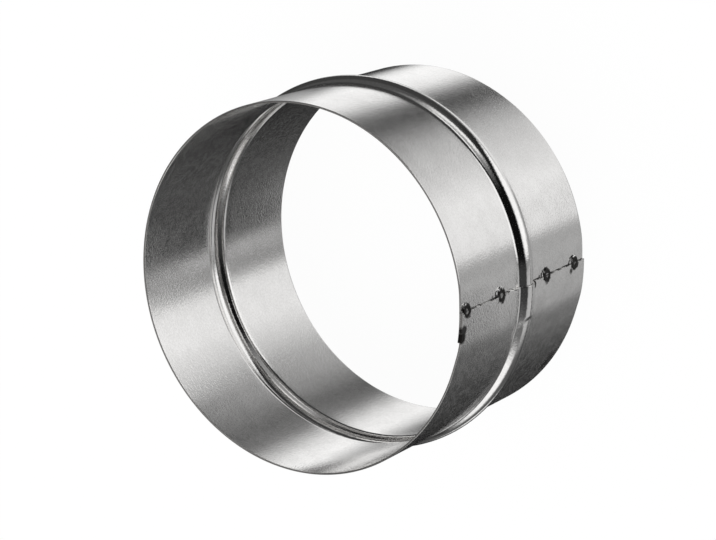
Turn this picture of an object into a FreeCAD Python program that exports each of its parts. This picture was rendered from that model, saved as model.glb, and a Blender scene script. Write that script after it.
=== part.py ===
import FreeCAD, Part
import math
import os
import Sketcher

# Duct hose connector: one strip of galvanised sheet, rolled into a short sleeve
# The ends of the strip lap, four spot welds hold the lap, and a stop bead is rolled round the middle
# The sleeve stands on its lower end, its axis is Z and the origin is at the centre of that end

# Driving dimensions, in millimetres, and one angle in degrees
DRIVING_SIZES = [
    ("outside_diameter", 124.0, "across the plain wall, to fit a hose of nominal size 125"),
    ("sheet_thickness", 0.6, "galvanised sheet"),
    ("sleeve_length", 82.0, "from end to end"),
    ("bead_position", 40.5, "crest of the stop bead above the lower end"),
    ("bead_height", 2.3, "crest of the stop bead above the plain wall"),
    ("crest_radius", 4.0, "outside radius of the bead's crest"),
    ("root_radius", 3.2, "outside radius where the bead leaves the plain wall"),
    ("lap_width", 10.0, "overlap of the strip's two ends, along the wall"),
    ("lap_gap", 0.05, "air between the two layers of the lap"),
    ("outer_joggle", 5.0, "stretch over which the strip's outer end steps out"),
    ("inner_joggle", 9.0, "stretch over which the strip's inner end sinks in"),
    ("seam_azimuth", -114.0, "direction of the outer end's free edge, in degrees from X"),
    ("weld_diameter", 5.4, "spot weld across its foot"),
    ("weld_crown", 3.8, "spot weld across its flat crown"),
    ("weld_rise", 0.05, "crown of a spot weld above the outer layer"),
    ("weld_base_inset", 7.0, "lowest spot weld above the lower end"),
    ("weld_top_inset", 3.0, "highest spot weld below the upper end"),
    ("weld_below_bead", 14.0, "second spot weld below the bead's crest"),
    ("weld_above_bead", 16.5, "third spot weld above the bead's crest"),
]

# Each joggle is lofted through sections at these parts of its way to the lap
JOGGLE_PARTS = [0.25, 0.5, 0.75]

# The strip's ends leave the rolls a little flat, so each layer runs straight between three sections
LAYER_PARTS = [0.5, 1.0]

# The lap's step is split, so the outer layer stands out as far as the inner one sinks in
OUTER_SHARE = 0.5
INNER_SHARE = -0.5

# Sizes that follow from the driving ones, as expressions of the document
OUTER_RADIUS = "sizes.outside_diameter / 2"
LAP_STEP = "(sizes.sheet_thickness + sizes.lap_gap)"
DEGREES_PER_LENGTH = "360 / (pi * sizes.outside_diameter)"
LAP_ANGLE = "sizes.lap_width * " + DEGREES_PER_LENGTH
OUTER_JOGGLE_ANGLE = "sizes.outer_joggle * " + DEGREES_PER_LENGTH
INNER_JOGGLE_ANGLE = "sizes.inner_joggle * " + DEGREES_PER_LENGTH
WELD_HEIGHTS = {
    "weld_near_base": "sizes.weld_base_inset",
    "weld_below_bead": "sizes.bead_position - sizes.weld_below_bead",
    "weld_above_bead": "sizes.bead_position + sizes.weld_above_bead",
    "weld_near_top": "sizes.sleeve_length - sizes.weld_top_inset",
}

# How a sketch names its origin, its axes and the ends and centre of a curve
ORIGIN = (-1, 1)
HORIZONTAL_AXIS = -1
START = 1
END = 2
CENTRE = 3


def make_sheet(doc):
    """The spreadsheet of driving dimensions, one row for each, with its alias."""
    sheet = doc.addObject("Spreadsheet::Sheet", "sizes")
    for row, (alias, value, note) in enumerate(DRIVING_SIZES, start=1):
        sheet.set("A%d" % row, alias)
        sheet.set("B%d" % row, str(value))
        sheet.set("C%d" % row, note)
        sheet.setAlias("B%d" % row, alias)
    doc.recompute()
    return sheet


def origin_plane(body, role):
    """One of the body's own origin planes."""
    return [item for item in body.Origin.OriginFeatures if item.Role == role][0]


def new_sketch(body, name, turn="0", height="0"):
    """A sketch on a plane through the axis, turned about the axis and raised along it."""
    sketch = body.newObject("Sketcher::SketchObject", name)
    sketch.AttachmentSupport = [(origin_plane(body, "XZ_Plane"), "")]
    sketch.MapMode = "FlatFace"
    about_sleeve_axis = FreeCAD.Rotation(FreeCAD.Vector(0, 1, 0), 1)
    sketch.AttachmentOffset = FreeCAD.Placement(FreeCAD.Vector(0, 0, 0), about_sleeve_axis)
    sketch.setExpression("AttachmentOffset.Rotation.Angle", turn)
    sketch.setExpression("AttachmentOffset.Base.y", height)
    return sketch


def bind(sketch, label, expression, *constraint):
    """Add a dimension to the sketch and tie it to an expression of the sizes."""
    index = sketch.addConstraint(Sketcher.Constraint(*constraint))
    sketch.renameConstraint(index, label)
    sketch.setExpression("Constraints." + label, expression)


def arc(centre, radius, first_angle, last_angle):
    circle = Part.Circle(FreeCAD.Vector(centre[0], centre[1], 0), FreeCAD.Vector(0, 0, 1), radius)
    return Part.ArcOfCircle(circle, first_angle, last_angle)


def segment(first, last):
    return Part.LineSegment(FreeCAD.Vector(first[0], first[1], 0), FreeCAD.Vector(last[0], last[1], 0))


def add_skin(sketch, sheet, side, offset, value):
    """One face of the sheet in section: plain wall, root, crest, root and plain wall.

    The offset is how far this face lies outside the sleeve's outer face. All the
    faces share the centres of their arcs, so the layers of the lap nest.
    """
    radius = sheet.outside_diameter / 2
    reach = sheet.crest_radius + sheet.root_radius
    half_width = math.sqrt(sheet.bead_height * (2 * reach - sheet.bead_height))
    lean = math.atan2(half_width, reach - sheet.bead_height)
    wall = radius + value
    crest_centre = (radius + sheet.bead_height - sheet.crest_radius, sheet.bead_position)
    lower_root = (radius + sheet.root_radius, sheet.bead_position - half_width)
    upper_root = (radius + sheet.root_radius, sheet.bead_position + half_width)

    lower_line = sketch.addGeometry(segment((wall, 0), (wall, lower_root[1])))
    lower_arc = sketch.addGeometry(
        arc(lower_root, sheet.root_radius - value, math.pi - lean, math.pi))
    crest_arc = sketch.addGeometry(
        arc(crest_centre, sheet.crest_radius + value, -lean, lean))
    upper_arc = sketch.addGeometry(
        arc(upper_root, sheet.root_radius - value, math.pi, math.pi + lean))
    upper_line = sketch.addGeometry(segment((wall, upper_root[1]), (wall, sheet.sleeve_length)))

    joints = [
        (lower_line, END, lower_arc, END),
        (lower_arc, START, crest_arc, START),
        (crest_arc, END, upper_arc, END),
        (upper_arc, START, upper_line, START),
    ]
    for joint in joints:
        sketch.addConstraint(Sketcher.Constraint("Tangent", *joint))
    for line in (lower_line, upper_line):
        sketch.addConstraint(Sketcher.Constraint("Vertical", line))
    sketch.addConstraint(Sketcher.Constraint("PointOnObject", lower_line, START, HORIZONTAL_AXIS))

    wall_radius = OUTER_RADIUS + " + " + offset
    bind(sketch, side + "_wall_below", wall_radius,
         "DistanceX", *ORIGIN, lower_line, START, wall)
    bind(sketch, side + "_wall_above", wall_radius,
         "DistanceX", *ORIGIN, upper_line, END, wall)
    bind(sketch, side + "_length", "sizes.sleeve_length",
         "DistanceY", *ORIGIN, upper_line, END, sheet.sleeve_length)
    bind(sketch, side + "_crest_reach", OUTER_RADIUS + " + sizes.bead_height - sizes.crest_radius",
         "DistanceX", *ORIGIN, crest_arc, CENTRE, crest_centre[0])
    bind(sketch, side + "_crest_position", "sizes.bead_position",
         "DistanceY", *ORIGIN, crest_arc, CENTRE, crest_centre[1])
    bind(sketch, side + "_crest_radius", "sizes.crest_radius + " + offset,
         "Radius", crest_arc, sheet.crest_radius + value)
    bind(sketch, side + "_lower_root_radius", "sizes.root_radius - (" + offset + ")",
         "Radius", lower_arc, sheet.root_radius - value)
    bind(sketch, side + "_upper_root_radius", "sizes.root_radius - (" + offset + ")",
         "Radius", upper_arc, sheet.root_radius - value)
    return lower_line, upper_line


def add_sheet_section(body, sheet, name, turn, step_share):
    """The sheet cut across, with its outer face moved out by a share of the lap's step."""
    sketch = new_sketch(body, name, turn)
    step = step_share * (sheet.sheet_thickness + sheet.lap_gap)
    outer_offset = "%r * %s" % (step_share, LAP_STEP)
    inner_offset = outer_offset + " - sizes.sheet_thickness"
    outer_lines = add_skin(sketch, sheet, "outer", outer_offset, step)
    inner_lines = add_skin(sketch, sheet, "inner", inner_offset, step - sheet.sheet_thickness)
    for outer, inner, end in zip(outer_lines, inner_lines, (START, END)):
        first = sketch.getPoint(inner, end)
        last = sketch.getPoint(outer, end)
        cut_edge = sketch.addGeometry(Part.LineSegment(first, last))
        sketch.addConstraint(Sketcher.Constraint("Coincident", cut_edge, START, inner, end))
        sketch.addConstraint(Sketcher.Constraint("Coincident", cut_edge, END, outer, end))
    return sketch


def roll(body, name, section, angle):
    """Roll a section of the sheet round the sleeve's axis."""
    rolled = body.newObject("PartDesign::Revolution", name)
    rolled.Profile = section
    rolled.ReferenceAxis = (section, ["V_Axis"])
    rolled.setExpression("Angle", angle)
    return rolled


def smooth_share(part):
    """A share from 0 to 1 that starts and ends level, for the shape of a joggle."""
    return part * part * (3 - 2 * part)


def add_joggle(body, sheet, name, wall_section, lap_section, wall_turn, lap_turn, lap_share):
    """The step from the plain wall to one layer of the lap, lofted through a few sections."""
    between = []
    for part in JOGGLE_PARTS:
        turn = "(%s) * %r + (%s) * %r" % (wall_turn, 1 - part, lap_turn, part)
        section_name = "%s_section_%d" % (name, round(100 * part))
        share = smooth_share(part) * lap_share
        between.append(add_sheet_section(body, sheet, section_name, turn, share))
    joggle = body.newObject("PartDesign::AdditiveLoft", name)
    joggle.Profile = wall_section
    joggle.Sections = between + [lap_section]
    return joggle


def add_lap_layer(body, sheet, name, lap_section, lap_turn, free_turn, share):
    """One layer of the lap, from its joggle to the strip's free end."""
    after = []
    for part in LAYER_PARTS:
        turn = "(%s) * %r + (%s) * %r" % (lap_turn, 1 - part, free_turn, part)
        section_name = "%s_section_%d" % (name, round(100 * part))
        after.append(add_sheet_section(body, sheet, section_name, turn, share))
    layer = body.newObject("PartDesign::AdditiveLoft", name)
    layer.Profile = lap_section
    layer.Sections = after
    layer.Ruled = True
    return layer


def add_spot_weld(body, sheet, name, height):
    """A flat-topped button on the free edge that melts the lap's two layers together."""
    sketch = new_sketch(body, name + "_section", LAP_ANGLE, height)
    outer_face = "%s + %r * %s" % (OUTER_RADIUS, OUTER_SHARE, LAP_STEP)
    step = sheet.sheet_thickness + sheet.lap_gap
    radius = sheet.outside_diameter / 2 + OUTER_SHARE * step
    crown = radius + sheet.weld_rise
    root = radius - step - sheet.sheet_thickness / 2

    corners = [(root, 0), (crown, 0), (crown, sheet.weld_crown / 2), (root, sheet.weld_diameter / 2)]
    ends = corners[1:] + corners[:1]
    sides = [sketch.addGeometry(segment(first, last)) for first, last in zip(corners, ends)]
    axis_line, crown_line, flank_line, root_line = sides
    for side, after in zip(sides, sides[1:] + sides[:1]):
        sketch.addConstraint(Sketcher.Constraint("Coincident", side, END, after, START))
    sketch.addConstraint(Sketcher.Constraint("PointOnObject", axis_line, START, HORIZONTAL_AXIS))
    sketch.addConstraint(Sketcher.Constraint("PointOnObject", axis_line, END, HORIZONTAL_AXIS))
    for line in (crown_line, root_line):
        sketch.addConstraint(Sketcher.Constraint("Vertical", line))
    bind(sketch, "root", "%s - %s - sizes.sheet_thickness / 2" % (outer_face, LAP_STEP),
         "DistanceX", *ORIGIN, axis_line, START, root)
    bind(sketch, "crown", outer_face + " + sizes.weld_rise",
         "DistanceX", *ORIGIN, axis_line, END, crown)
    bind(sketch, "crown_half_width", "sizes.weld_crown / 2",
         "DistanceY", *ORIGIN, crown_line, END, sheet.weld_crown / 2)
    bind(sketch, "foot_half_width", "sizes.weld_diameter / 2",
         "DistanceY", *ORIGIN, root_line, START, sheet.weld_diameter / 2)

    weld = body.newObject("PartDesign::Revolution", name)
    weld.Profile = sketch
    weld.ReferenceAxis = (sketch, ["H_Axis"])
    weld.Angle = 360
    return weld


def make_connector_sleeve(doc, sheet):
    """The whole connector: rolled wall, the lap's two layers with their joggles, and welds.

    In the body's own frame the inner end lies at the X axis, and the outer end's free
    edge at the lap's angle from it. The body is then turned to bring the seam round.
    """
    body = doc.addObject("PartDesign::Body", "connector_sleeve")
    body.Label = "connector_sleeve"
    wall_start = LAP_ANGLE + " + " + INNER_JOGGLE_ANGLE
    wall_end = "-" + OUTER_JOGGLE_ANGLE
    wall_angle = "360 - %s - %s - %s" % (LAP_ANGLE, INNER_JOGGLE_ANGLE, OUTER_JOGGLE_ANGLE)

    start_section = add_sheet_section(body, sheet, "wall_start_section", wall_start, 0.0)
    roll(body, "rolled_wall", start_section, wall_angle)

    inner_section = add_sheet_section(body, sheet, "inner_layer_section", LAP_ANGLE, INNER_SHARE)
    add_joggle(body, sheet, "inner_joggle_loft", start_section, inner_section,
               wall_start, LAP_ANGLE, INNER_SHARE)
    add_lap_layer(body, sheet, "inner_layer", inner_section, LAP_ANGLE, "0", INNER_SHARE)

    end_section = add_sheet_section(body, sheet, "wall_end_section", wall_end, 0.0)
    outer_section = add_sheet_section(body, sheet, "outer_layer_section", "0", OUTER_SHARE)
    add_joggle(body, sheet, "outer_joggle_loft", end_section, outer_section,
               wall_end, "0", OUTER_SHARE)
    tip = add_lap_layer(body, sheet, "outer_layer", outer_section, "0", LAP_ANGLE, OUTER_SHARE)

    for name, height in WELD_HEIGHTS.items():
        tip = add_spot_weld(body, sheet, name, height)
    body.Tip = tip

    body.Placement.Rotation = FreeCAD.Rotation(FreeCAD.Vector(0, 0, 1), 1)
    body.setExpression("Placement.Rotation.Angle", "sizes.seam_azimuth - " + LAP_ANGLE)
    return body


def check_document(doc):
    """Stop where any object of the document has failed."""
    for item in doc.Objects:
        if "Invalid" in item.State or "Error" in item.State:
            raise RuntimeError("%s failed: %s" % (item.Label, item.State))


def export_body(body):
    """Write a sub-part's solid to its own file, named by its label."""
    shape = body.Shape
    if shape.isNull() or not shape.isValid() or len(shape.Solids) != 1:
        raise RuntimeError("%s is not one valid solid" % body.Label)
    shape.exportStep("parts/%s.step" % body.Label)
    box = shape.BoundBox
    print("%s: volume %.1f, X %.3f to %.3f, Y %.3f to %.3f, Z %.3f to %.3f, %d faces" % (
        body.Label, shape.Volume, box.XMin, box.XMax, box.YMin, box.YMax, box.ZMin, box.ZMax,
        len(shape.Faces)))


doc = FreeCAD.newDocument("duct_hose_connector")
sizes = make_sheet(doc)
sleeve = make_connector_sleeve(doc, sizes)
doc.recompute()
check_document(doc)
os.makedirs("parts", exist_ok=True)
export_body(sleeve)
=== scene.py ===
# %% [markdown]
# # A duct hose connector in bright galvanised steel
#
# The real object is a short sleeve that joins two lengths of duct hose. It is one strip of
# zinc-coated sheet, rolled round until its ends lap, and spot-welded along the lap. A rounded
# stop bead is rolled outwards round its middle, and each hose is pushed on as far as that bead.
#
# The lesson is about bright metal. Its colour is almost only what it reflects, so a smooth
# mesh and a well planned studio matter more here than paint does.

# %% Load the frame
import math

import bmesh
import bpy
from mathutils import Matrix, Vector, noise


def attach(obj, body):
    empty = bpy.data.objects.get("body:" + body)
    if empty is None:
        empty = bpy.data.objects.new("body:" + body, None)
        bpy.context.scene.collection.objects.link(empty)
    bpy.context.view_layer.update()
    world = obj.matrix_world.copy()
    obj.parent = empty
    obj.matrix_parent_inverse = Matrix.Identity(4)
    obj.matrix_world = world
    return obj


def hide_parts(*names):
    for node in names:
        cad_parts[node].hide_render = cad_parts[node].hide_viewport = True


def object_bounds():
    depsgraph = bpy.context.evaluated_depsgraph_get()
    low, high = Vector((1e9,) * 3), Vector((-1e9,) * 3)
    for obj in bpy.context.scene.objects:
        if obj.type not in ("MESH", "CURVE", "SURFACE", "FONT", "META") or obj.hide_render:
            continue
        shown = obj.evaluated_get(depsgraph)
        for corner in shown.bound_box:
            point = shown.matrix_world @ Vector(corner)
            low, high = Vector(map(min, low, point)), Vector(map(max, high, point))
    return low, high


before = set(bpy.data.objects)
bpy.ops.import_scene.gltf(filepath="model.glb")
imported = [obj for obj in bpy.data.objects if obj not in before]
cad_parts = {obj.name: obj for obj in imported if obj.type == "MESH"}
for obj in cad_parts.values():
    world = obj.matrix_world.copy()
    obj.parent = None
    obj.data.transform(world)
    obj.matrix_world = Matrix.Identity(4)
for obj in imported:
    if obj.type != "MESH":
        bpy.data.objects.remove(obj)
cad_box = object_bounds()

print("nodes:", sorted(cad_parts), "box:", [tuple(corner) for corner in cad_box])

# %% [markdown]
# ## The camera
#
# The photograph looks down into the sleeve from about 55 degrees above the horizon, with a long
# lens, and the sleeve seems to lie on its side. It could be laid down in the scene, but the part
# stands on its lower end, so the camera is rolled instead. A camera is an object like any other:
# its matrix holds three directions, which are its right, its up and the reverse of its gaze.

# %% Place the camera
CAMERA_PLACE = Vector((0.0, -0.46404, 0.70256))
CAMERA_RIGHT = Vector((-0.36354, -0.76132, -0.53686))
CAMERA_UP = Vector((0.93158, -0.29619, -0.21081))
SENSOR_WIDTH = 36.0
LENS_LENGTH = 120.3755
FARTHEST_SIGHT = 50.0

camera_data = bpy.data.cameras.new("photo_camera")
camera_data.sensor_fit = "HORIZONTAL"
camera_data.sensor_width = SENSOR_WIDTH
camera_data.lens = LENS_LENGTH
camera_data.clip_end = FARTHEST_SIGHT
camera = bpy.data.objects.new("photo_camera", camera_data)
bpy.context.scene.collection.objects.link(camera)
camera_turn = Matrix((CAMERA_RIGHT, CAMERA_UP, CAMERA_RIGHT.cross(CAMERA_UP))).transposed()
camera.matrix_world = Matrix.Translation(CAMERA_PLACE) @ camera_turn.to_4x4()
bpy.context.scene.camera = camera
print("camera:", tuple(camera.location), "lens", camera_data.lens)

# %% [markdown]
# ## The sheet in section
#
# Cut the sleeve along its axis and the sheet shows as a long line with a hump, which is the stop
# bead: a small arc where the wall turns outwards, a bigger one over the crest and a third back
# into the wall. The arcs meet without a kink, so the reflections run over the bead unbroken.
#
# The whole part could be made by spinning this line with a Screw modifier. The lap would be
# missing then, so the line is kept as rows of points, each with the direction that the face
# looks in, and code carries these rows round the sleeve.

# %% Write down the sheet's sizes
MM = 0.001
WALL_RADIUS = 62.0
SHEET = 0.6
LENGTH = 82.0
BEAD_PLACE = 40.5
CREST_RADIUS = 5.2
ROOT_RADIUS = 2.0
PLANNED_BEAD_HEIGHT = 2.3
ROOM_IN_BOX = 0.03

box_radius = (cad_box[1].x - cad_box[0].x) / 2 / MM
BEAD_HEIGHT = min(PLANNED_BEAD_HEIGHT, box_radius - WALL_RADIUS - ROOM_IN_BOX)
print("bead stands %.3f mm above the wall" % BEAD_HEIGHT)

# %% Rows up the wall and over an arc
WALL_STEP = 3.0


def wall_rows(first, last):
    """Rows up a stretch of plain wall, as radius, height and the way the face looks."""
    count = max(1, round((last - first) / WALL_STEP))
    heights = [first + (last - first) * i / count for i in range(count)]
    return [(WALL_RADIUS, z, 1.0, 0.0) for z in heights]


def arc_rows(centre, radius, first, last, count, sense):
    """Rows over an arc of the bead. The sense is -1 where the arc's centre lies outside."""
    rows = []
    for i in range(count):
        angle = first + (last - first) * i / count
        away = (math.cos(angle), math.sin(angle))
        rows.append((centre[0] + radius * away[0], centre[1] + radius * away[1],
                     sense * away[0], sense * away[1]))
    return rows


print("a row every %.0f mm of plain wall" % WALL_STEP)

# %% Find the middles of the bead's arcs
reach = CREST_RADIUS + ROOT_RADIUS
half_width = math.sqrt(BEAD_HEIGHT * (2 * reach - BEAD_HEIGHT))
lean = math.atan2(half_width, reach - BEAD_HEIGHT)
lower_root = (WALL_RADIUS + ROOT_RADIUS, BEAD_PLACE - half_width)
upper_root = (WALL_RADIUS + ROOT_RADIUS, BEAD_PLACE + half_width)
crest = (WALL_RADIUS + BEAD_HEIGHT - CREST_RADIUS, BEAD_PLACE)
print("bead is %.2f mm wide, flanks lean %.0f degrees" % (2 * half_width, math.degrees(lean)))

# %% Lay out the rows of the section
# distance from a cut edge in mm, and how far the rounded corner lies inside the face there
EDGE_ROUNDING = [(0.0, 0.15), (0.045, 0.045), (0.15, 0.0), (0.45, 0.0)]
ROOT_ROWS = 9
CREST_ROWS = 18

edge = EDGE_ROUNDING[-1][0]
rim_rows = [((WALL_RADIUS, z, 1.0, 0.0), inset) for z, inset in EDGE_ROUNDING[:-1]]
middle_rows = wall_rows(edge, lower_root[1])
middle_rows += arc_rows(lower_root, ROOT_RADIUS, math.pi, math.pi - lean, ROOT_ROWS, -1)
middle_rows += arc_rows(crest, CREST_RADIUS, -lean, lean, CREST_ROWS, 1)
middle_rows += arc_rows(upper_root, ROOT_RADIUS, math.pi + lean, math.pi, ROOT_ROWS, -1)
middle_rows += wall_rows(upper_root[1], LENGTH - edge)
middle_rows.append((WALL_RADIUS, LENGTH - edge, 1.0, 0.0))
top_rows = [((WALL_RADIUS, LENGTH - z, 1.0, 0.0), inset)
            for z, inset in reversed(EDGE_ROUNDING[:-1])]
section = rim_rows + [(row, 0.0) for row in middle_rows] + top_rows
print("rows in the section:", len(section))

# %% [markdown]
# ## The strip's way round
#
# The strip is a little longer than the girth. Its first end sinks under the last one, which steps
# out over it, and each goes half the way. In sheet-metal work such a step is called a joggle. The
# rolls press the bead hard against the inner layer, so there the outer joggle is short and sharp.
#
# A step could be pulled out of a plain tube by hand, with proportional editing. A formula is
# used instead, because the two layers have to fit each other all the way up, over the bead too.
# It follows the strip by its angle, from its hidden inner end to the free edge that shows on the
# outside, and says how far the strip lies outside or inside the plain wall.

# %% Write down the lap's sizes
LAP_WIDTH = 10.0
LAP_GAP = 0.05
OUTER_JOGGLE = 9.0
JOGGLE_ON_BEAD = 1.2
BEAD_REACH = 4.5
INNER_JOGGLE = 9.0
SEAM_AZIMUTH = -114.0

degrees_per_mm = 180 / (math.pi * WALL_RADIUS)
lap = LAP_WIDTH * degrees_per_mm
strip_end = 360.0 + lap
half_step = (SHEET + LAP_GAP) / 2
print("lap of %.2f degrees, with steps of %.3f mm" % (lap, half_step))

# %% Follow the strip round the sleeve
def smooth(share):
    share = min(1.0, max(0.0, share))
    return share * share * (3 - 2 * share)


def strip_offset(turn, height):
    """How far the strip lies outside the plain wall, in mm, at a turn from its inner end."""
    near_bead = math.exp(-((height - BEAD_PLACE) / BEAD_REACH) ** 2)
    outer_joggle = OUTER_JOGGLE + (JOGGLE_ON_BEAD - OUTER_JOGGLE) * near_bead
    sunk = 1 - smooth((turn - lap) / (INNER_JOGGLE * degrees_per_mm))
    raised = smooth(1 - (360.0 - turn) / (outer_joggle * degrees_per_mm))
    return half_step * (raised - sunk)


print("ends lie at %.3f and %.3f mm" % (strip_offset(0.0, 0.0), strip_offset(strip_end, 0.0)))

# %% Choose the columns
# degrees between two columns, and the stretches beside the lap where they are closer together
PLAIN_TURN = 1.0
BENT_TURN = 0.5
SHARP_TURN = 0.15
STRETCH_AFTER_LAP = 10.0
STRETCH_BEFORE_LAP = 7.0
SHARP_STRETCH = 2.5
NEAREST_TO_END = 0.2


def strip_columns():
    """Turns at which the section is set down, closer together where the strip bends."""
    columns = [(distance * degrees_per_mm, inset) for distance, inset in EDGE_ROUNDING]
    turn = columns[-1][0]
    last = strip_end - EDGE_ROUNDING[-1][0] * degrees_per_mm
    while True:
        sharp = 360.0 - SHARP_STRETCH < turn < 360.0
        bends = turn < lap + STRETCH_AFTER_LAP or turn > 360.0 - STRETCH_BEFORE_LAP
        turn += SHARP_TURN if sharp else BENT_TURN if bends else PLAIN_TURN
        if turn > last - NEAREST_TO_END:
            break
        columns.append((turn, 0.0))
    return columns + [(strip_end - distance * degrees_per_mm, inset)
                      for distance, inset in reversed(EDGE_ROUNDING)]


columns = strip_columns()
print("columns round the strip:", len(columns))

# %% [markdown]
# ## What the hand and the rolls leave
#
# A rolled sleeve is never quite true. The wall is uneven by a few hundredths of a millimetre,
# which no ruler finds but every reflection does, and rolling the bead has pulled the free edge
# a little to and fro beside it. A Displace modifier with a cloud texture could make the wall
# uneven. Here a smooth noise moves each point, so that both faces of the sheet move alike, and
# a few soft waves move the edge.

# %% Describe the unevenness
UNEVEN_DEPTH = 0.035
# waves round the wall, the height of one wave in mm and its share of the depth
SLOW_WAVES = (2.6, 30.0, 0.7)
QUICK_WAVES = (7.0, 12.0, 0.3)
# height and spread of each wave of the free edge, and how far it goes, in mm
EDGE_WAVES = [(50.6, 1.5, 0.55), (47.4, 1.2, -0.35), (61.0, 9.0, -0.12)]


def unevenness(azimuth, z):
    """Offset of the wall from its true place in mm, a little inwards, alike for both faces."""
    waves = 1.0
    for count, wave_height, share in (SLOW_WAVES, QUICK_WAVES):
        spot = Vector((math.cos(azimuth) * count, math.sin(azimuth) * count, z / wave_height))
        waves += share * noise.noise(spot)
    return -UNEVEN_DEPTH * waves


def edge_shift(z):
    """Millimetres that the free edge stands on from a straight line."""
    return sum(size * math.exp(-((z - height) / spread) ** 2)
               for height, spread, size in EDGE_WAVES)


print("edge moves by %.2f mm above the bead" % edge_shift(50.6))

# %% [markdown]
# ## The sleeve's mesh
#
# Rows and columns now make one closed skin: the outer face, the inner face, the two cut rims and
# the strip's two ends. A Solidify modifier could thicken a single face instead, but it leaves the
# corners of the sheet sharp. Here they are rounded by a fraction of a millimetre, because on
# bright metal an edge shows only by the thin highlight on its rounding.

# %% Set the strip's points in space
def strip_point(row, turn, offset):
    radius, height, out, up = row
    share = smooth((turn - 360.0) / lap)
    shifted = turn + share * edge_shift(height) * degrees_per_mm
    azimuth = math.radians(shifted + SEAM_AZIMUTH - lap)
    offset += unevenness(azimuth, height)
    radius += out * offset
    return (radius * math.cos(azimuth) * MM, radius * math.sin(azimuth) * MM,
            (height + up * offset) * MM)


points = []
for turn, column_inset in columns:
    insets = [math.hypot(row_inset, column_inset) for row, row_inset in section]
    offsets = [strip_offset(turn, row[1]) for row, row_inset in section]
    points += [strip_point(row, turn, offset - inset)
               for (row, _), offset, inset in zip(section, offsets, insets)]
    points += [strip_point(row, turn, offset - SHEET + inset)
               for (row, _), offset, inset in zip(section, offsets, insets)]
print("points:", len(points))

# %% Join the points with faces
rows = len(section)


def outer(column, row):
    return column * 2 * rows + row


def inner(column, row):
    return column * 2 * rows + rows + row


faces = []
for c in range(len(columns) - 1):
    for r in range(rows - 1):
        faces.append((outer(c, r), outer(c + 1, r), outer(c + 1, r + 1), outer(c, r + 1)))
        faces.append((inner(c, r), inner(c, r + 1), inner(c + 1, r + 1), inner(c + 1, r)))
    top = rows - 1
    faces.append((inner(c, 0), inner(c + 1, 0), outer(c + 1, 0), outer(c, 0)))
    faces.append((outer(c, top), outer(c + 1, top), inner(c + 1, top), inner(c, top)))
last_column = len(columns) - 1
for r in range(rows - 1):
    faces.append((inner(0, r), outer(0, r), outer(0, r + 1), inner(0, r + 1)))
    faces.append((inner(last_column, r), inner(last_column, r + 1),
                  outer(last_column, r + 1), outer(last_column, r)))
print("faces:", len(faces))

# %% [markdown]
# ## Spot welds
#
# Each weld is a button of melted sheet on the free edge. The electrode leaves a shallow dimple
# with a raised ring round it. A bump in the finish could show this from the front, but from the
# side it would be flat. So a button is a small turned shape, made as rings of points round an
# axis that stands square to the wall. Its outline is a little uneven, as melted metal is.

# %% Add the weld buttons
WELD_HEIGHTS = [7.0, 26.5, 57.0, 79.0]
# distance from the button's middle and rise above the wall, in mm
WELD_PROFILE = [(0.0, 0.30), (0.7, 0.31), (1.15, 0.345), (1.5, 0.385), (1.8, 0.39), (2.1, 0.36),
                (2.4, 0.24), (2.6, -0.05), (2.7, -0.35), (2.75, -0.65)]
WELD_SIDES = 28
WELD_SHIFTS = [0.1, -0.2, 0.3, 0.0]
WELD_WOBBLE = 0.10
seam = math.radians(SEAM_AZIMUTH)
weld_axis = Vector((math.cos(seam), math.sin(seam), 0.0))
weld_side = Vector((-math.sin(seam), math.cos(seam), 0.0))


def add_weld(height, shift):
    """A button at a height on the free edge, moved along the girth by a shift, both in mm."""
    first = len(points)
    for reach_out, rise in WELD_PROFILE[1:]:
        for side in range(WELD_SIDES):
            angle = 2 * math.pi * side / WELD_SIDES
            wobble = noise.noise(Vector((math.cos(angle), math.sin(angle), height)))
            spread = reach_out * (1 + WELD_WOBBLE * wobble)
            along = shift + spread * math.cos(angle)
            drop = WALL_RADIUS - math.sqrt(WALL_RADIUS ** 2 - along ** 2)
            place = weld_axis * (WALL_RADIUS + rise - drop) + weld_side * along
            points.append((place.x * MM, place.y * MM, (height + spread * math.sin(angle)) * MM))
    middle = weld_axis * (WALL_RADIUS + WELD_PROFILE[0][1]) + weld_side * shift
    points.append((middle.x * MM, middle.y * MM, height * MM))
    for side in range(WELD_SIDES):
        after = (side + 1) % WELD_SIDES
        faces.append((len(points) - 1, first + side, first + after))
        for ring in range(len(WELD_PROFILE) - 2):
            low = first + ring * WELD_SIDES
            high = low + WELD_SIDES
            faces.append((low + side, high + side, high + after, low + after))
    foot = first + (len(WELD_PROFILE) - 2) * WELD_SIDES
    faces.append(tuple(foot + side for side in reversed(range(WELD_SIDES))))


for height, shift in zip(WELD_HEIGHTS, WELD_SHIFTS):
    add_weld(height, shift)
print("weld buttons:", len(WELD_HEIGHTS))

# %% Make the sleeve and hang it on the frame
sleeve_mesh = bpy.data.meshes.new("sleeve")
sleeve_mesh.from_pydata(points, [], faces)
sleeve_mesh.validate()
sleeve_mesh.shade_smooth()
sleeve = bpy.data.objects.new("sleeve", sleeve_mesh)
bpy.context.scene.collection.objects.link(sleeve)
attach(sleeve, "root")
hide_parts("connector_sleeve")
print("sleeve:", len(sleeve_mesh.vertices), "points,", len(sleeve_mesh.polygons), "faces")

# %% [markdown]
# ## Galvanised steel
#
# Zinc-coated sheet is a bright, slightly warm grey metal with a fine grain. A metallic
# Principled BSDF has no colour of its own under the reflection, so the finish is made of three
# things: a base colour near that of zinc, a roughness that blurs the reflections, and a fine
# bump that breaks up their borders as the real grain does.
#
# Node trees in code are long, so a few short helpers add nodes and link them. Each of them comes
# where it is first needed.

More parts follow.
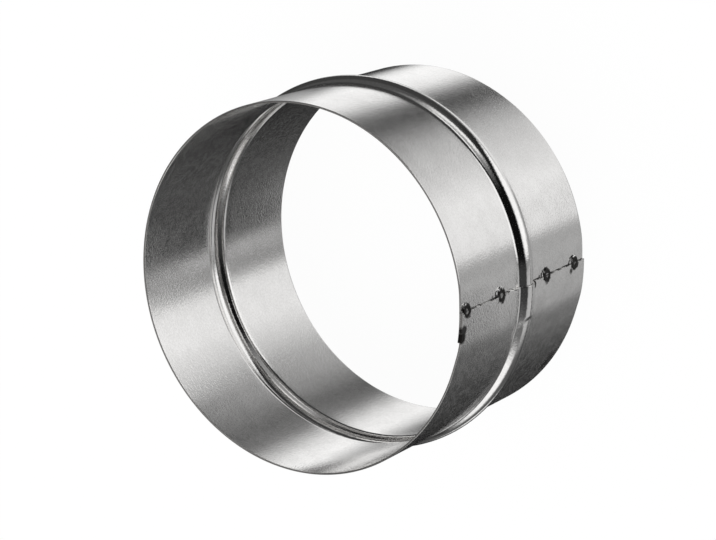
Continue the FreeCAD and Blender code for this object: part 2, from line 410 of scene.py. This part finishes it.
# %% Start the finish
def add_node(tree, kind, **settings):
    node = tree.nodes.new(kind)
    for name, value in settings.items():
        setattr(node, name, value)
    return node


def feed(tree, socket, value):
    """Link an output to a socket, or set the socket to a plain value."""
    if isinstance(value, bpy.types.NodeSocket):
        tree.links.new(value, socket)
    else:
        socket.default_value = value


steel = bpy.data.materials.new("galvanised_steel")
steel.use_nodes = True
tree = steel.node_tree
finish = tree.nodes["Principled BSDF"]
place = add_node(tree, "ShaderNodeTexCoord").outputs["Object"]
print("nodes in", steel.name, ":", len(tree.nodes))

# %% [markdown]
# ### Grain and handling marks
#
# The zinc's grain is under a millimetre, and larger clouds in the coating shine a little less.
# Faint diagonal scuffs come from hands and gloves. An image could carry all three, but noise
# textures need no unwrapping, and they stay sharp however near the camera comes.
#
# For the scuffs the texture needs coordinates that lie in the sheet, so the angle round the axis
# is turned into a length along the girth. The angle is counted from the lap, where the strip has
# its real ends.

# %% Coordinates in the sheet
HALF_GIRTH = math.pi * WALL_RADIUS


def calc(tree, operation, *values):
    node = add_node(tree, "ShaderNodeMath", operation=operation)
    for socket, value in zip(node.inputs, values):
        feed(tree, socket, value)
    return node.outputs[0]


split = add_node(tree, "ShaderNodeSeparateXYZ")
feed(tree, split.inputs[0], place)
turned = add_node(tree, "ShaderNodeVectorRotate", rotation_type="Z_AXIS")
feed(tree, turned.inputs["Vector"], place)
turned.inputs["Angle"].default_value = math.pi - math.radians(SEAM_AZIMUTH)
turned_split = add_node(tree, "ShaderNodeSeparateXYZ")
feed(tree, turned_split.inputs[0], turned.outputs[0])
angle = calc(tree, "ARCTAN2", turned_split.outputs["Y"], turned_split.outputs["X"])
girth = calc(tree, "MULTIPLY", angle, WALL_RADIUS * MM)
height = split.outputs["Z"]
flat = add_node(tree, "ShaderNodeCombineXYZ")
feed(tree, flat.inputs["X"], girth)
feed(tree, flat.inputs["Y"], height)
print("girth runs from %.4f to %.4f m" % (-HALF_GIRTH * MM, HALF_GIRTH * MM))

# %% Grain, clouds and scuffs
GRAINS_PER_METRE = 1400.0
CLOUDS_PER_METRE = 130.0
SCUFF_SLANT = math.radians(38)
SCUFFS_PER_METRE = (40.0, 420.0, 1.0)


def cloud(tree, vector, scale, detail=2.0, roughness=0.5):
    """A soft noise that lies mostly between 0.3 and 0.7."""
    node = add_node(tree, "ShaderNodeTexNoise")
    feed(tree, node.inputs["Vector"], vector)
    for name, given in (("Scale", scale), ("Detail", detail), ("Roughness", roughness)):
        feed(tree, node.inputs[name], given)
    return node.outputs["Fac"]


grain = cloud(tree, place, GRAINS_PER_METRE, roughness=0.6)
clouds = cloud(tree, place, CLOUDS_PER_METRE, detail=3.0, roughness=0.55)
slanted = add_node(tree, "ShaderNodeMapping")
feed(tree, slanted.inputs["Vector"], flat.outputs[0])
slanted.inputs["Rotation"].default_value = (0.0, 0.0, SCUFF_SLANT)
slanted.inputs["Scale"].default_value = SCUFFS_PER_METRE
scuffs = cloud(tree, slanted.outputs[0], 1.0, roughness=0.6)
print("grain of about %.1f mm" % (1000 / GRAINS_PER_METRE))

# %% [markdown]
# ### Burnt welds, painted shade along the seam, and dark spots
#
# The welding current burns a dark ring into the zinc round each weld. Along the free edge the
# narrow gap under the edge lies in shadow, and that shade is painted on as a dark line. Such marks
# could be painted on by hand, in Texture Paint. Here each is a distance from a point on the wall,
# turned into a soft-edged ring or spot, because then it can be moved by changing one number. A
# little noise keeps the rings from being perfect circles.

# %% Where the marks are
# height and azimuth of each mark's middle, radius and softness in mm, and how dark it is
SPOTS = [
    (81.3, -121.7, 1.4, 1.1, 1.0),
    (80.8, -119.6, 1.2, 1.0, 0.95),
    (35.5, -115.2, 1.2, 0.5, 1.0),
    (62.0, -113.6, 0.4, 0.5, 0.8),
    (31.0, -113.7, 0.4, 0.5, 0.8),
    (9.5, -116.2, 0.6, 0.8, 0.9),
    # the last two are darker, larger spots at the foot of the wall, near the lower rim
    (4.8, -151.0, 1.4, 1.8, 0.95),
    (3.6, -148.2, 1.2, 1.6, 0.85),
]


def on_wall(mark_height, azimuth):
    azimuth = math.radians(azimuth)
    return (WALL_RADIUS * math.cos(azimuth) * MM, WALL_RADIUS * math.sin(azimuth) * MM,
            mark_height * MM)


print("spots:", len(SPOTS), "weld rings:", len(WELD_HEIGHTS))

# %% Measure the distance from a mark
WOBBLES_PER_METRE = 800.0
WOBBLE = 2.4

swing = calc(tree, "SUBTRACT", cloud(tree, place, WOBBLES_PER_METRE), 0.5)
wobble = calc(tree, "MULTIPLY", swing, WOBBLE)


def distance_from(centre, wobble_share):
    """Millimetres from a point, with a border as uneven as the share of the wobble."""
    node = add_node(tree, "ShaderNodeVectorMath", operation="DISTANCE")
    feed(tree, node.inputs[0], place)
    node.inputs[1].default_value = centre
    return calc(tree, "ADD", calc(tree, "DIVIDE", node.outputs["Value"], MM),
                calc(tree, "MULTIPLY", wobble, wobble_share))


print("borders waver over about %.1f mm" % (1000 / WOBBLES_PER_METRE))

# %% Burn the rings and spots
WELD_RING = 1.6
RING_WOBBLE = 1.0
SPOT_WOBBLE = 0.4
# from full strength to none, in mm off the ring's line and off the weld's middle
RING_SOFTNESS = (0.6, 1.3)
MIDDLE_SOFTNESS = (0.3, 1.2)
MIDDLE_DARKNESS = 0.5


def ramp(tree, value, low, high, start=0.0, end=1.0):
    """A smooth way from start to end as the value goes from low to high."""
    node = add_node(tree, "ShaderNodeMapRange", interpolation_type="SMOOTHSTEP")
    for name, given in zip(("Value", "From Min", "From Max", "To Min", "To Max"),
                           (value, low, high, start, end)):
        feed(tree, node.inputs[name], given)
    return node.outputs[0]


def darkest(shares):
    total = shares[0]
    for share in shares[1:]:
        total = calc(tree, "MAXIMUM", total, share)
    return total


burns = []
for weld_height in WELD_HEIGHTS:
    distance = distance_from(on_wall(weld_height, SEAM_AZIMUTH), RING_WOBBLE)
    off_ring = calc(tree, "ABSOLUTE", calc(tree, "SUBTRACT", distance, WELD_RING))
    burns.append(ramp(tree, off_ring, *RING_SOFTNESS, 1.0, 0.0))
    burns.append(ramp(tree, distance, *MIDDLE_SOFTNESS, MIDDLE_DARKNESS, 0.0))
for spot_height, azimuth, radius, softness, dark in SPOTS:
    distance = distance_from(on_wall(spot_height, azimuth), SPOT_WOBBLE)
    burns.append(ramp(tree, distance, radius, radius + softness, dark, 0.0))
burnt = darkest(burns)
print("burnt rings and spots:", len(burns))

# %% Paint shade along the free edge
# mm from the edge, from full strength to none
EDGE_SOFTNESS = (0.08, 0.34)
SHADE_PATCHES_PER_METRE = 500.0
SHADE_NOISE = (0.38, 0.6)
LEAST_SHADE_IN_PATCHES = 0.35
LEAST_SHADE_ON_BEAD = 0.6
# metres from the bead's crest, from the least soot to all of it
BEAD_SHADE_BORDER = (0.005, 0.009)

girth_from_seam = calc(tree, "ADD", calc(tree, "DIVIDE", girth, MM), HALF_GIRTH)
edge_place = calc(tree, "WRAP", girth_from_seam, HALF_GIRTH, -HALF_GIRTH)
for wave_height, spread, size in EDGE_WAVES:
    off_wave = calc(tree, "DIVIDE", calc(tree, "SUBTRACT", height, wave_height * MM), spread * MM)
    fall = calc(tree, "MULTIPLY", calc(tree, "MULTIPLY", off_wave, off_wave), -1.0)
    wave = calc(tree, "MULTIPLY", calc(tree, "EXPONENT", fall), size)
    edge_place = calc(tree, "SUBTRACT", edge_place, wave)
from_edge = calc(tree, "ABSOLUTE", edge_place)
off_bead = calc(tree, "ABSOLUTE", calc(tree, "SUBTRACT", height, BEAD_PLACE * MM))
patches = cloud(tree, place, SHADE_PATCHES_PER_METRE)
shade_strength = calc(tree, "MULTIPLY", ramp(tree, off_bead, *BEAD_SHADE_BORDER, LEAST_SHADE_ON_BEAD, 1.0),
             ramp(tree, patches, *SHADE_NOISE, LEAST_SHADE_IN_PATCHES, 1.0))
# painted shade: the gap under the free edge lies in shadow, so a dark line follows the edge,
# lighter on the bead and in patches
edge_shade = calc(tree, "MULTIPLY", ramp(tree, from_edge, *EDGE_SOFTNESS, 1.0, 0.0), shade_strength)
burns_and_edge_shade = calc(tree, "MAXIMUM", burnt, edge_shade)
print("soot follows", len(EDGE_WAVES), "waves of the edge")

# %% [markdown]
# ### The finish put together
#
# Zinc dulls in the air. A thin bloom lies on it in grains, which scatters a little white light
# like chalk, and shows mainly where the metal reflects something dark. The rolls have rubbed it
# off the bead. Where the sheet was cut, the two rims show bare steel, which is darker than zinc.
#
# The bloom could be a second shader laid over the first. A Metallic value a little under 1 does
# the same with one, because that share of the surface then scatters light like paint.

# %% Colour the zinc
ZINC = (0.86, 0.852, 0.843, 1.0)
ZINC_DULL = (0.78, 0.772, 0.762, 1.0)
BURN_AND_SHADE_COLOUR = (0.022, 0.020, 0.019, 1.0)
CUT_STEEL = (0.38, 0.37, 0.36, 1.0)
GRAIN_SHARE = 0.6
DULL_NOISE = (0.35, 0.65)
# mm from the rim, where the bare steel begins and where it is full
RIM_WIDTH = 0.12
RIM_FULL_WIDTH = 0.04


def blend_colours(tree, share, first, second):
    """Mix two colours, which are inputs 6 and 7 of a Mix node. Its output 2 is the result."""
    node = add_node(tree, "ShaderNodeMix", data_type="RGBA")
    feed(tree, node.inputs[0], share)
    feed(tree, node.inputs[6], first)
    feed(tree, node.inputs[7], second)
    return node.outputs[2]


dull = ramp(tree, calc(tree, "ADD", calc(tree, "MULTIPLY", grain, GRAIN_SHARE),
                       calc(tree, "MULTIPLY", clouds, 1 - GRAIN_SHARE)), *DULL_NOISE)
zinc = blend_colours(tree, dull, ZINC, ZINC_DULL)
from_middle = calc(tree, "ABSOLUTE", calc(tree, "SUBTRACT", height, LENGTH / 2 * MM))
cut = ramp(tree, from_middle, (LENGTH / 2 - RIM_WIDTH) * MM, (LENGTH / 2 - RIM_FULL_WIDTH) * MM)
zinc = blend_colours(tree, cut, zinc, CUT_STEEL)
# the burn colour also paints the shade along the free edge
feed(tree, finish.inputs["Base Color"], blend_colours(tree, burns_and_edge_shade, zinc, BURN_AND_SHADE_COLOUR))
print("zinc from", ZINC[:3], "to", ZINC_DULL[:3])

# %% Dull it and roughen it
BLOOMS_PER_METRE = 450.0
BLOOM_NOISE = (0.40, 0.60)
MOST_BLOOM = 0.058
# metres from the bead's crest, from no bloom to all of it
BLOOM_FREE_BEAD = (0.004, 0.007)
CLOUD_NOISE = (0.35, 0.7)
ROUGHNESS = (0.085, 0.12)
SCUFF_NOISE = (0.55, 0.75)
SCUFF_ROUGHNESS = 0.015
BURNT_ROUGHNESS = 0.3
GRAIN_DEPTH = 0.000028

blooming = cloud(tree, place, BLOOMS_PER_METRE, detail=5.0, roughness=0.85)
bloom = calc(tree, "MULTIPLY", ramp(tree, blooming, *BLOOM_NOISE, 0.0, MOST_BLOOM),
             ramp(tree, off_bead, *BLOOM_FREE_BEAD))
feed(tree, finish.inputs["Metallic"], calc(tree, "SUBTRACT", 1.0, bloom))
plain_roughness = calc(tree, "ADD", ramp(tree, clouds, *CLOUD_NOISE, *ROUGHNESS),
                       ramp(tree, scuffs, *SCUFF_NOISE, 0.0, SCUFF_ROUGHNESS))
feed(tree, finish.inputs["Roughness"], calc(tree, "ADD", plain_roughness,
                                            calc(tree, "MULTIPLY", burns_and_edge_shade, BURNT_ROUGHNESS)))

bump = add_node(tree, "ShaderNodeBump")
bump.inputs["Strength"].default_value = 1.0
bump.inputs["Distance"].default_value = GRAIN_DEPTH
feed(tree, bump.inputs["Height"], grain)
feed(tree, finish.inputs["Normal"], bump.outputs[0])
sleeve.data.materials.append(steel)
print("nodes in", steel.name, ":", len(tree.nodes))

# %% [markdown]
# ## The floor
#
# A plain white floor under the sleeve takes its soft shadow. A white world alone could be the
# background, but the sleeve would seem to float before it. Nearly all that the camera sees of the
# floor is plain white light, so that it is as even as in the photograph. The sleeve's reflections
# look down through it into the light tent, so the floor is left out of them.

# %% Lay the floor
FLOOR_REACH = 30.0

floor_mesh = bpy.data.meshes.new("floor")
floor_corners = [(x * FLOOR_REACH, y * FLOOR_REACH, 0.0)
                 for x, y in ((-1, -1), (1, -1), (1, 1), (-1, 1))]
floor_mesh.from_pydata(floor_corners, [], [(0, 1, 2, 3)])
floor = bpy.data.objects.new("floor", floor_mesh)
bpy.context.scene.collection.objects.link(floor)
floor.visible_glossy = False
print("floor reaches %.0f m each way" % FLOOR_REACH)

# %% Paint the floor
FLOOR_LIGHT_SHARE = 0.96
FLOOR_WHITE = (0.93, 0.93, 0.93, 1.0)


def seen_or_reflected(tree):
    """1 where the camera looks straight at a surface, or in a mirror or through glass."""
    rays = add_node(tree, "ShaderNodeLightPath")
    return calc(tree, "MAXIMUM", rays.outputs["Is Camera Ray"],
                calc(tree, "MAXIMUM", rays.outputs["Is Glossy Ray"],
                     rays.outputs["Is Transmission Ray"]))


floor_paint = bpy.data.materials.new("floor_paint")
floor_paint.use_nodes = True
floor_tree = floor_paint.node_tree
floor_tree.nodes.clear()
matt = add_node(floor_tree, "ShaderNodeBsdfDiffuse")
matt.inputs["Color"].default_value = FLOOR_WHITE
white = add_node(floor_tree, "ShaderNodeEmission")
mixed = add_node(floor_tree, "ShaderNodeMixShader")
feed(floor_tree, mixed.inputs[0],
     calc(floor_tree, "MULTIPLY", seen_or_reflected(floor_tree), FLOOR_LIGHT_SHARE))
feed(floor_tree, mixed.inputs[1], matt.outputs[0])
feed(floor_tree, mixed.inputs[2], white.outputs[0])
floor_output = add_node(floor_tree, "ShaderNodeOutputMaterial")
feed(floor_tree, floor_output.inputs["Surface"], mixed.outputs[0])
floor_paint.cycles.emission_sampling = "NONE"
floor.data.materials.append(floor_paint)
print("floor share of plain light:", FLOOR_LIGHT_SHARE)

# %% [markdown]
# ## The light tent
#
# Product photographers shoot bright metal in a tent of cloth, with openings and panels in it:
# each one draws its own band on the metal. The camera looks down at 55 degrees, so the plain
# wall shows what lies 55 degrees below the horizon, all the way round. The bead's flanks lean,
# and they show what lies higher and lower.
#
# This tent is a large ball of dark cloth that only reflections see. Soft panels of light hang on
# it, and where the wall looks, two rings of greys run round it, one for the sleeve's outside and
# one for its inside. A few narrow streaks cross the inside's ring. Everything is placed by azimuth
# and elevation, in degrees from the sleeve.
#
# The photograph says nothing about what the sleeve reflects from other sides. Panels hang there
# too, because metal with only darkness round it looks black. Real lamps and cards could be set up
# instead, but each would also light the floor, and the cloth is easier to aim.

# %% Sew the tent
TENT_RADIUS = 4.0
TENT_SEGMENTS = 48
TENT_RINGS = 24

ball = bmesh.new()
bmesh.ops.create_uvsphere(ball, u_segments=TENT_SEGMENTS, v_segments=TENT_RINGS,
                          radius=TENT_RADIUS)
tent_mesh = bpy.data.meshes.new("light_tent")
ball.to_mesh(tent_mesh)
ball.free()
tent = bpy.data.objects.new("light_tent", tent_mesh)
bpy.context.scene.collection.objects.link(tent)
for kind in ("camera", "diffuse", "transmission", "volume_scatter", "shadow"):
    setattr(tent, "visible_" + kind, False)
print("tent of", len(tent_mesh.polygons), "faces")

# %% Find azimuth and elevation on the cloth
cloth = bpy.data.materials.new("tent_cloth")
cloth.use_nodes = True
cloth_tree = cloth.node_tree
cloth_tree.nodes.clear()
spot = add_node(cloth_tree, "ShaderNodeTexCoord").outputs["Object"]
spot_split = add_node(cloth_tree, "ShaderNodeSeparateXYZ")
feed(cloth_tree, spot_split.inputs[0], spot)
spot_length = add_node(cloth_tree, "ShaderNodeVectorMath", operation="LENGTH")
feed(cloth_tree, spot_length.inputs[0], spot)
sine = calc(cloth_tree, "DIVIDE", spot_split.outputs["Z"], spot_length.outputs["Value"])
elevation = calc(cloth_tree, "DEGREES", calc(cloth_tree, "ARCSINE", sine))
azimuth = calc(cloth_tree, "DEGREES", calc(cloth_tree, "ARCTAN2", spot_split.outputs["Y"],
                                           spot_split.outputs["X"]))
print("nodes in the cloth:", len(cloth_tree.nodes))

# %% Write down the panels
# azimuth and elevation of the middle, half the width and height, soft borders of the sides and
# of the top and bottom, how far the panel leans for each degree of elevation, and its level
PANELS = [
    (0, -80, 180, 19, 1, 1, 0.0, 0.36),
    (-20, -72, 48, 12, 20, 4, 0.0, 0.90),
    (-60, -64, 25, 5, 15, 2, 0.0, 0.80),
    (150, -64, 42, 4, 10, 3, 0.0, 0.12),
    (10, 8, 62, 22, 20, 8, 0.0, 0.085),
    (10, -28, 60, 20, 20, 8, 0.0, 0.05),
    (175, -28, 40, 22, 14, 8, 0.0, 0.11),
    (-135, 17, 14, 27, 8, 6, 0.0, 0.045),
    (-153, 17, 12, 27, 8, 6, 0.0, 0.17),
    (-42, 28, 28, 14, 12, 5, 0.0, 0.30),
    (-46, 13, 17, 8, 8, 5, 0.0, 1.05),
    (-140, -30, 18, 19, 10, 6, 0.0, 0.52),
    (-96, -34, 21, 23, 6, 9, 0.0, 1.15),
    (-76, -34, 17, 23, 5, 9, -0.75, 1.10),
    (180, 15, 20, 23, 8, 8, 0.0, 1.12),
    (153, -38, 9, 7, 6, 4, -0.6, 1.00),
    (100, 6, 26, 30, 12, 10, 0.0, 0.90),
    (0, 70, 180, 22, 1, 8, 0.0, 0.70),
    (90, 55, 40, 12, 12, 6, 0.0, 0.30),
]
print("panels:", len(PANELS), "levels up to", max(panel[-1] for panel in PANELS))

# %% Hang them on the cloth
CLOTH_LEVEL = 0.005


def mix_levels(share, first, second):
    """Mix two levels, which are inputs 2 and 3 of a Mix node."""
    node = add_node(cloth_tree, "ShaderNodeMix", data_type="FLOAT")
    for socket, value in zip(node.inputs[:1] + node.inputs[2:4], (share, first, second)):
        feed(cloth_tree, socket, value)
    return node.outputs[0]


def hang_panel(level, middle, half_width, half_height, side_border, end_border, lean,
               panel_level):
    """Lay a soft-edged panel over the level so far."""
    over = calc(cloth_tree, "SUBTRACT", elevation, middle[1])
    beside = calc(cloth_tree, "SUBTRACT", calc(cloth_tree, "SUBTRACT", azimuth, middle[0]),
                  calc(cloth_tree, "MULTIPLY", over, lean))
    beside = calc(cloth_tree, "ABSOLUTE", calc(cloth_tree, "WRAP", beside, 180.0, -180.0))
    across = ramp(cloth_tree, beside, half_width - side_border, half_width + side_border, 1.0, 0.0)
    along = ramp(cloth_tree, calc(cloth_tree, "ABSOLUTE", over),
                 half_height - end_border, half_height + end_border, 1.0, 0.0)
    return mix_levels(calc(cloth_tree, "MULTIPLY", across, along), level, panel_level)


level = CLOTH_LEVEL
for middle_azimuth, middle_elevation, *shape in PANELS:
    level = hang_panel(level, (middle_azimuth, middle_elevation), *shape)
print("nodes in the cloth:", len(cloth_tree.nodes))

# %% Write down the rings of greys and the streaks
# pairs of azimuth and level, from the back of the tent round its right side
OUTSIDE_GREYS = [(-180, 0.13), (-172, 0.215), (-164, 0.335), (-156, 0.40), (-134, 0.46),
                 (-116, 0.42), (-109, 0.88), (-78, 0.97), (-62, 0.80), (-40, 0.61), (-28, 0.42),
                 (-16, 0.17), (-9, 0.08), (-2, 0.11), (4, 0.26), (10, 0.58), (18, 0.97),
                 (38, 1.10), (47, 0.94), (54, 0.50), (60, 0.06), (74, 0.03), (128, 0.035),
                 (150, 0.044), (164, 0.07), (180, 0.13)]
INSIDE_GREYS = [(-180, 0.07), (-150, 0.045), (-141, 0.055), (-136, 0.11), (-128, 0.15),
                (-119, 0.26), (-113, 0.46), (-107, 0.88), (-84, 0.93), (-66, 0.66), (-52, 0.38),
                (-38, 0.345), (-14, 0.155), (0, 0.225), (10, 0.60), (20, 0.99), (34, 1.09),
                (48, 0.53), (66, 0.29), (80, 0.17), (92, 0.005), (130, 0.026), (150, 0.046),
                (180, 0.07)]
# written as the panels are, and laid over the rings
STREAKS = [
    (-124, -50.6, 3.5, 1.8, 1.5, 0.6, 6.0, 0.85),
    (-116, -50.4, 3, 1.8, 1.5, 0.6, 6.0, 0.02),
    (-127, -53.3, 6, 1.0, 3, 0.6, 3.0, 0.42),
]
print("rings of", len(OUTSIDE_GREYS), "and", len(INSIDE_GREYS), "greys, streaks:", len(STREAKS))

# %% Run the rings round the tent
# lowest and highest elevation of each ring
OUTSIDE_BAND = (-61.0, -54.6)
INSIDE_BAND = (-54.6, -48.5)
BAND_BORDER = 0.4


def run_ring(level, greys, band):
    """Lay a ring of greys over the level so far, between two elevations."""
    levels = add_node(cloth_tree, "ShaderNodeValToRGB")
    while len(levels.color_ramp.elements) < len(greys):
        levels.color_ramp.elements.new(0.5)
    for element, (angle, grey) in zip(levels.color_ramp.elements, greys):
        element.position = (angle + 180) / 360
        element.color = (grey, grey, grey, 1.0)
    feed(cloth_tree, levels.inputs[0],
         calc(cloth_tree, "ADD", calc(cloth_tree, "DIVIDE", azimuth, 360.0), 0.5))
    off_middle = calc(cloth_tree, "ABSOLUTE",
                      calc(cloth_tree, "SUBTRACT", elevation, (band[0] + band[1]) / 2))
    half = (band[1] - band[0]) / 2
    in_band = ramp(cloth_tree, off_middle, half - BAND_BORDER, half + BAND_BORDER, 1.0, 0.0)
    return mix_levels(in_band, level, levels.outputs[0])


level = run_ring(level, OUTSIDE_GREYS, OUTSIDE_BAND)
level = run_ring(level, INSIDE_GREYS, INSIDE_BAND)
print("nodes in the cloth:", len(cloth_tree.nodes))

# %% Lay the streaks over them and light the cloth
for middle_azimuth, middle_elevation, *shape in STREAKS:
    level = hang_panel(level, (middle_azimuth, middle_elevation), *shape)
glow = add_node(cloth_tree, "ShaderNodeEmission")
feed(cloth_tree, glow.inputs["Strength"], level)
cloth_output = add_node(cloth_tree, "ShaderNodeOutputMaterial")
feed(cloth_tree, cloth_output.inputs["Surface"], glow.outputs[0])
cloth.cycles.emission_sampling = "NONE"
tent.data.materials.append(cloth)
print("streaks laid:", len(STREAKS), "nodes in the cloth:", len(cloth_tree.nodes))

# %% [markdown]
# ## Lamp and world
#
# One large soft lamp hangs over the sleeve, and the white world fills in. A small lamp could
# light it too, but it would draw a hard shadow. Together they light a white surface to about
# white, so every colour renders as it is written. The world is plain white for the camera and in
# reflections, and a little weaker as a light.

# %% Hang the lamp
LAMP_SIZE = 1.6
LAMP_WATTS = 18.0
LAMP_PLACE = Vector((-0.5, 0.3, 1.8))
LAMP_AIM = Vector((0.0, 0.0, 0.04))

lamp_data = bpy.data.lights.new("soft_lamp", "AREA")
lamp_data.shape = "DISK"
lamp_data.size = LAMP_SIZE
lamp_data.energy = LAMP_WATTS
lamp = bpy.data.objects.new("soft_lamp", lamp_data)
lamp.location = LAMP_PLACE
lamp.rotation_euler = (LAMP_AIM - LAMP_PLACE).to_track_quat("-Z", "Y").to_euler()
bpy.context.scene.collection.objects.link(lamp)
lamp.visible_glossy = False
print("lamp of", lamp_data.energy, "W at", tuple(lamp.location))

# %% Fill in with the world
WORLD_AS_SEEN = 1.0
WORLD_AS_LIGHT = 0.75

world = bpy.data.worlds.new("white_studio")
bpy.context.scene.world = world
world.use_nodes = True
world_tree = world.node_tree
background = world_tree.nodes["Background"]
background.inputs["Color"].default_value = (1.0, 1.0, 1.0, 1.0)
feed(world_tree, background.inputs["Strength"],
     ramp(world_tree, seen_or_reflected(world_tree), 0.0, 1.0, WORLD_AS_LIGHT, WORLD_AS_SEEN))
world.cycles.sampling_method = "NONE"
print("world lights at", WORLD_AS_LIGHT)

# %% Finish with the Standard view transform
bpy.context.scene.view_settings.view_transform = "Standard"
